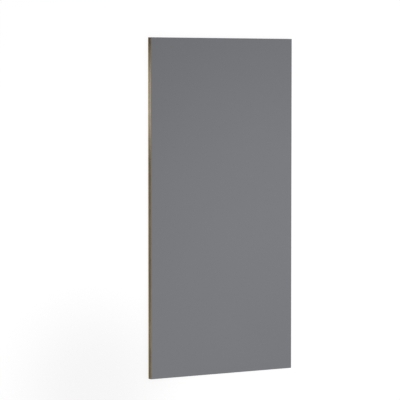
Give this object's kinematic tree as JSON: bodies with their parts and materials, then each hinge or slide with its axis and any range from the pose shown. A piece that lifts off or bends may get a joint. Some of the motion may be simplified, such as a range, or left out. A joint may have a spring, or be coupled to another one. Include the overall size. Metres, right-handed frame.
{
  "type": "decorative laminate faced board",
  "caption": "Full-size flat board faced on one side with a plain mid-grey matt decorative laminate, over a brown plywood core with bare sawn edges.",
  "frame": {"origin": "middle of the board's back face, which rests on the floor", "axes": "+X across the sheet, +Y along the sheet, +Z out of the decorative face"},
  "size_m": [1.22, 2.44, 0.039],
  "materials": {
    "plywood": "matte",
    "grey_laminate": "matte"
  },
  "bodies": {
    "root": {"core_board": "plywood", "decor_laminate": "grey_laminate"}
  },
  "joints": []
}
